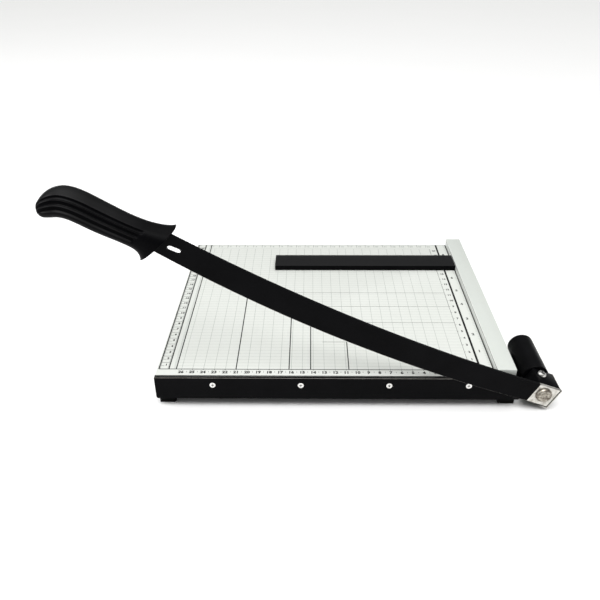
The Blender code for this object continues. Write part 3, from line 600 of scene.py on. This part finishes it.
def add_slab(builder, low, high):
    """A closed block between two corners."""
    levels = (low[2], high[2])
    depths = (low[1], high[1])
    corners = [builder.verts.new((x, y, z)) for z in levels for y in depths for x in (low[0], high[0])]
    for face in ((0, 2, 3, 1), (4, 5, 7, 6), (0, 1, 5, 4), (1, 3, 7, 5), (3, 2, 6, 7), (2, 0, 4, 6)):
        builder.faces.new([corners[index] for index in face])


def evaluated_mesh(thing):
    """A new mesh of an object with its modifiers applied."""
    bpy.context.view_layer.update()
    return bpy.data.meshes.new_from_object(thing.evaluated_get(bpy.context.evaluated_depsgraph_get()))


class Print:
    """Collects the table's printed lines and numbers, by tone, as thin raised ink."""

    def __init__(self):
        self.builders = {tone: bmesh.new() for tone in INKS}
        self.digits = {}

    def line(self, tone, start, end, width):
        """A line along X or Y between two places on the table."""
        (x0, y0), (x1, y1) = start, end
        half = width / 2
        grow_x, grow_y = (0.0, half) if abs(x1 - x0) > abs(y1 - y0) else (half, 0.0)
        low = (TRAY_LOW.x + min(x0, x1) - grow_x, TRAY_LOW.y + min(y0, y1) - grow_y, TRAY_HIGH.z - INK_SUNK)
        high = (TRAY_LOW.x + max(x0, x1) + grow_x, TRAY_LOW.y + max(y0, y1) + grow_y,
                TRAY_HIGH.z + INK_HEIGHTS[tone])
        add_slab(self.builders[tone], low, high)

    def glyphs(self, text):
        """Closed mesh of a text, middled on the origin, one unit high."""
        if text not in self.digits:
            curve = bpy.data.curves.new("digits", "FONT")
            curve.body = text
            curve.align_x = "CENTER"
            curve.align_y = "CENTER"
            curve.resolution_u = 2
            curve.extrude = 0.5
            curve.offset = NUMBER_WEIGHT
            holder = bpy.data.objects.new("digits", curve)
            bpy.context.scene.collection.objects.link(holder)
            self.digits[text] = evaluated_mesh(holder)
            bpy.data.objects.remove(holder)
        return self.digits[text]

    def number(self, tone, value, place, height):
        """A number with its middle at a place on the table."""
        thickness = INK_SUNK + INK_HEIGHTS[tone]
        middle = (TRAY_LOW.x + place[0], TRAY_LOW.y + place[1], TRAY_HIGH.z - INK_SUNK + thickness / 2)
        copy = self.glyphs(str(value)).copy()
        copy.transform(Matrix.Translation(middle) @ Matrix.Diagonal((height, height, thickness, 1.0)))
        self.builders[tone].from_mesh(copy)
        bpy.data.meshes.remove(copy)

    def finish(self):
        for tone, builder in self.builders.items():
            bmesh.ops.remove_doubles(builder, verts=builder.verts, dist=INK_WELD)
            bmesh.ops.recalc_face_normals(builder, faces=builder.faces)
            piece = mesh_object(f"print_{tone}", builder, INKS[tone])
            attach(piece, "base")
        for mesh in self.digits.values():
            bpy.data.meshes.remove(mesh)


def steps(start, end, pitch):
    """Places from start to end, a pitch apart."""
    return [start + pitch * count for count in range(int((end - start) / pitch + 0.001) + 1)]


def print_grid(art, uprights):
    """Faint levels every half centimetre, grey uprights every centimetre, and the lines of the sheet sizes."""
    for y in steps(GRID_FRONT + CENTIMETRE / 2, GRID_BACK - GRID_MARGIN, CENTIMETRE / 2):
        art.line("faint", (GRID_LEFT, y), (GRID_RIGHT, y), FAINT)
    for x in uprights:
        art.line("grid", (x, GRID_FRONT), (x, GRID_BACK), FINE)
    for x, back in BOLD_UPRIGHTS:
        art.line("black", (x, GRID_FRONT), (x, back), BOLD)
    for y, left, right in BOLD_LEVELS:
        art.line("dark", (left, y), (right, y), FINE)


def print_borders(art):
    art.line("dark", (RULER_OUTER, GRID_FRONT), (FENCE_FOOT, GRID_FRONT), BOLD)
    art.line("grid", (GRID_LEFT, GRID_BACK), (GRID_RIGHT, GRID_BACK), FINE)
    art.line("dark", (RULER_OUTER, TABLE_PRINT_BACK), (FENCE_FOOT, TABLE_PRINT_BACK), FINE)
    art.line("dark", (GRID_RIGHT, GRID_FRONT), (GRID_RIGHT, GRID_BACK), FINE)
    for x in (RULER_OUTER, RULER_INNER, GRID_LEFT):
        art.line("black", (x, GRID_FRONT), (x, TABLE_PRINT_BACK), BOLD)
    art.line("black", (SQUARE_EDGE, GRID_FRONT), (SQUARE_EDGE, TABLE_PRINT_BACK), HEAVY)
    # Painted shade: a black line along the fence's foot, for the shadow in its contact gap
    art.line("black", (FENCE_FOOT, GRID_FRONT), (FENCE_FOOT, TABLE_PRINT_BACK), FENCE_FOOT_SHADE)
    # Painted shade: a black ink strip along the table's front edge, for the shadow in the gap beside the fixed
    # blade
    art.line("black", (0.0, FRONT_GAP_SHADE / 2), (TRAY_HIGH.x - TRAY_LOW.x, FRONT_GAP_SHADE / 2), FRONT_GAP_SHADE)


def print_left_ruler(art):
    """Millimetres on both sides of the ruler and beside the grid, and numbered centimetres."""
    for count, y in enumerate(steps(GRID_FRONT, TABLE_PRINT_BACK - MILLIMETRE, MILLIMETRE)):
        reach = LONG_TICK if count % 5 == 0 else SHORT_TICK
        if count % 10:
            art.line("black", (RULER_OUTER, y), (RULER_OUTER + reach, y), FINE)
            art.line("dark", (RULER_INNER - SHORT_TICK, y), (RULER_INNER, y), FINE)
        art.line("grid", (GRID_LEFT - GRID_TICK, y), (GRID_LEFT, y), FAINT)
    levels = steps(GRID_FRONT + CENTIMETRE, TABLE_PRINT_BACK - LEFT_RULER_MARGIN, CENTIMETRE)
    for count, y in enumerate(levels, start=1):
        art.line("black", (RULER_OUTER, y), (RULER_INNER, y), FINE)
        art.number("black", count, (RULER_INNER - LEFT_NUMBERS, y - LEFT_NUMBERS), SMALL_NUMBER)


def print_front_ruler(art, uprights):
    """Centimetres counted from the fence, and a mark at each half."""
    for count, x in enumerate(uprights):
        art.line("dark", (x, GRID_FRONT), (x, GRID_FRONT - SHORT_TICK), FINE)
        art.number("black", len(uprights) - count, (x, GRID_FRONT - FRONT_NUMBERS), NUMBER_HEIGHT)
    near, far = FRONT_HALVES
    for x in steps(UPRIGHT_START + CENTIMETRE / 2, GRID_RIGHT, CENTIMETRE):
        art.line("dark", (x, GRID_FRONT - near), (x, GRID_FRONT - far), FINE)


def print_back_ruler(art):
    beside, before = BACK_NUMBERS
    for count, x in enumerate(steps(BACK_START, GRID_RIGHT, BACK_PITCH), start=1):
        art.line("dark", (x, TABLE_PRINT_BACK), (x, TABLE_PRINT_BACK - BACK_TICK), FINE)
        art.number("grid", count, (x + beside, TABLE_PRINT_BACK - before), SMALL_NUMBER)


def print_fence_side(art):
    """A column of numbers on each side of the heavy line, and marks at the fence's foot."""
    for count, y in enumerate(steps(INNER_START, GRID_BACK - GRID_MARGIN, INNER_PITCH), start=1):
        art.line("dark", (GRID_RIGHT, y), (GRID_RIGHT + INNER_TICK, y), FINE)
        art.number("dark", count, (GRID_RIGHT + INNER_NUMBERS, y), SMALL_NUMBER)
    for count, y in enumerate(steps(OUTER_START, GRID_BACK, OUTER_PITCH), start=1):
        art.number("dark", count, (SQUARE_EDGE + OUTER_NUMBERS, y), NUMBER_HEIGHT)
    for y in steps(GRID_FRONT, TABLE_PRINT_BACK, FOOT_PITCH):
        art.line("grid", (SQUARE_EDGE + FOOT_MARKS, y), (FENCE_FOOT, y), FAINT)


def print_table():
    art = Print()
    uprights = steps(UPRIGHT_START, GRID_RIGHT - GRID_MARGIN, CENTIMETRE)
    print_grid(art, uprights)
    print_borders(art)
    print_left_ruler(art)
    print_front_ruler(art, uprights)
    print_back_ruler(art)
    print_fence_side(art)
    art.finish()


def handle_point(along, across):
    """World (x, z) of a point in the handle's own frame."""
    axis = Vector((-math.cos(HANDLE_ANGLE), math.sin(HANDLE_ANGLE)))
    upward = Vector((axis.y, -axis.x))
    spot = HANDLE_START + axis * along + upward * across
    return Vector((PIVOT.x + spot.x, PIVOT.z + spot.y))


def smooth_rows(rows, count):
    """Rows of numbers, resampled on a Catmull-Rom curve through them."""
    rows = np.array(rows, float)
    padded = np.vstack([2 * rows[0] - rows[1], rows, 2 * rows[-1] - rows[-2]])
    result = []
    for step in range(count):
        where = (len(rows) - 1) * step / (count - 1)
        index = min(int(where), len(rows) - 2)
        t = where - index
        before, first, second, after = padded[index:index + 4]
        result.append(0.5 * (
            2 * first + (second - before) * t + (2 * before - 5 * first + 4 * second - after) * t**2
            + (3 * first - before - 3 * second + after) * t**3
        ))
    return result


def groove_depth(angle, share):
    """How deep the grip's flutes are at an angle from the top, in degrees, and a share of the grip's length."""
    depth = 0.0
    for middle, start, end in zip(GROOVE_ANGLES, GROOVE_STARTS, GROOVE_ENDS):
        off = abs(angle - middle) / GROOVE_HALF_WIDTH
        if off >= 1.0 or not start < share < end:
            continue
        rise = min(1.0, (share - start) / GROOVE_RISE)
        fall = min(1.0, (end - share) / GROOVE_FALL)
        depth = max(depth, GROOVE_DEPTH * (1.0 - off**4) * math.sqrt(rise) * fall)
    return depth


def handle_ring(builder, row, share, scale=1.0, shift=0.0):
    """One ring of the grip at a share of its length, scaled about its middle and shifted along the handle."""
    top_along, top_across, low_along, low_across, half_width = row
    high = handle_point(top_along + shift, top_across)
    low = handle_point(low_along + shift, low_across)
    centre = Vector(((high.x + low.x) / 2, ARM_MIDDLE, (high.y + low.y) / 2))
    upward = Vector(((high.x - low.x) / 2, 0, (high.y - low.y) / 2))
    power = 2 / HANDLE_SQUARENESS
    points = []
    for step in range(HANDLE_STEPS):
        angle = math.tau * step / HANDLE_STEPS
        side = math.copysign(abs(math.sin(angle)) ** power, math.sin(angle))
        rise = math.copysign(abs(math.cos(angle)) ** power, math.cos(angle))
        inward = groove_depth(math.degrees(min(angle, math.tau - angle)), share)
        radius = max(upward.length * abs(rise) + half_width * abs(side), LEAST_RADIUS)
        radial = Vector((upward.x * rise, -half_width * side, upward.z * rise))
        radial *= scale * (1.0 - inward / radius)
        points.append(builder.verts.new(centre + radial))
    return points


def cut_wells(grip):
    """Cuts the screw wells into the grip's back."""
    cutters = []
    for along in SCREW_WELLS:
        spot = handle_point(along, 0.0)
        well = bmesh.new()
        bmesh.ops.create_cone(
            well, cap_ends=True, segments=48, radius1=WELL_RADIUS, radius2=WELL_RADIUS, depth=WELL_CUTTER
        )
        middle = Matrix.Translation((spot.x, ARM_MIDDLE + WELL_FLOOR + WELL_CUTTER / 2, spot.y))
        bmesh.ops.transform(well, matrix=middle @ Matrix.Rotation(math.pi / 2, 4, "X"), verts=well.verts)
        cutter = mesh_object("well_cutter", well, NODE_FINISHES["handle_grip"])
        cutters.append(cutter)
        change = grip.modifiers.new("well", "BOOLEAN")
        change.operation = "DIFFERENCE"
        change.solver = "EXACT"
        change.object = cutter
    shaped = evaluated_mesh(grip)
    grip.modifiers.clear()
    grip.data = shaped
    for cutter in cutters:
        bpy.data.objects.remove(cutter)


def make_handle():
    """Moulded grip: fluted sides, a flared guard with a rolled rim, and two screw wells at the back."""
    samples = smooth_rows([(*top, *bottom, half) for top, bottom, half in HANDLE_SECTIONS], HANDLE_RINGS)
    builder = bmesh.new()
    rings = [handle_ring(builder, samples[0], 0.0, scale, shift) for scale, shift in GUARD_RIM]
    for index, row in enumerate(samples[1:], start=1):
        rings.append(handle_ring(builder, row, index / (HANDLE_RINGS - 1)))
    for scale in POMMEL_END:
        rings.append(handle_ring(builder, samples[-1], 1.0, scale))
    for one, other in zip(rings, rings[1:]):
        for step in range(HANDLE_STEPS):
            following = (step + 1) % HANDLE_STEPS
            builder.faces.new((one[step], other[step], other[following], one[following]))
    builder.faces.new(rings[0])
    builder.faces.new(list(reversed(rings[-1])))
    bmesh.ops.recalc_face_normals(builder, faces=builder.faces)
    grip = mesh_object("grip", builder, NODE_FINISHES["handle_grip"])
    cut_wells(grip)
    grip.data.shade_smooth()
    grip.data.set_sharp_from_angle(angle=math.radians(GRIP_SHARP_ANGLE))
    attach(grip, "arm")
    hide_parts("handle_grip")


# ---------------------------------------------------------------- studio


def make_floor():
    """Pale paper floor with painted shade: its colour darkens a little with distance, for light falling off far
    away.
    """
    floor = bmesh.new()
    bmesh.ops.create_grid(floor, x_segments=8, y_segments=8, size=FLOOR_SIZE)
    paper = Finish("studio_floor", specular=0.1)
    near = paper.mix(paper.between(paper.noise(3.0), 0.0, 1.0), *FLOOR_NEAR)
    length = paper.add("ShaderNodeVectorMath", operation="LENGTH")
    paper.feed(length.inputs[0], paper.place)
    paper.colour(paper.mix(paper.between(length.outputs["Value"], 0.0, 1.0, *FLOOR_SHADE_FADE), near, FLOOR_FAR_SHADE))
    paper.roughness(0.9)
    mesh_object("floor", floor, paper.material)


def make_sky():
    """Even white light that gathers overhead, with a pale band at the horizon."""
    world = bpy.data.worlds.new("studio")
    world.use_nodes = True
    tree = world.node_tree
    direction = tree.nodes.new("ShaderNodeSeparateXYZ")
    tree.links.new(tree.nodes.new("ShaderNodeTexCoord").outputs["Generated"], direction.inputs["Vector"])
    steep = tree.nodes.new("ShaderNodeMath")
    steep.operation = "POWER"
    tree.links.new(direction.outputs["Z"], steep.inputs[0])
    steep.inputs[1].default_value = SKY_POWER
    height = tree.nodes.new("ShaderNodeMapRange")
    tree.links.new(steep.outputs["Value"], height.inputs["Value"])
    height.inputs["To Min"].default_value = SKY_LOW
    height.inputs["To Max"].default_value = SKY_HIGH
    glow = tree.nodes.new("ShaderNodeMapRange")
    tree.links.new(direction.outputs["Z"], glow.inputs["Value"])
    glow.inputs["From Max"].default_value = GLOW_HEIGHT
    glow.inputs["To Min"].default_value = GLOW
    glow.inputs["To Max"].default_value = 0.0
    strength = tree.nodes.new("ShaderNodeMath")
    tree.links.new(height.outputs["Result"], strength.inputs[0])
    tree.links.new(glow.outputs["Result"], strength.inputs[1])
    background = tree.nodes["Background"]
    background.inputs["Color"].default_value = SKY_COLOUR
    tree.links.new(strength.outputs["Value"], background.inputs["Strength"])
    bpy.context.scene.world = world


def make_softboxes():
    for name, place, target, size, power in SOFTBOXES:
        light = bpy.data.lights.new(name, "AREA")
        light.shape = "RECTANGLE"
        light.size, light.size_y = size
        light.energy = power
        holder = bpy.data.objects.new(name, light)
        holder.location = place
        holder.rotation_euler = (Vector(target) - Vector(place)).to_track_quat("-Z", "Y").to_euler()
        bpy.context.scene.collection.objects.link(holder)


def make_camera():
    camera = bpy.data.cameras.new("camera")
    camera.lens = CAMERA_LENS
    camera.sensor_width = 36.0
    camera.clip_start = 0.01
    camera.clip_end = 50.0
    holder = bpy.data.objects.new("camera", camera)
    holder.location = CAMERA_PLACE
    holder.rotation_euler = [math.radians(angle) for angle in CAMERA_TURN]
    bpy.context.scene.collection.objects.link(holder)
    bpy.context.scene.camera = holder
    bpy.context.scene.view_settings.view_transform = "Standard"


dress_cad_nodes()
print_table()
make_handle()
make_floor()
make_sky()
make_softboxes()
make_camera()
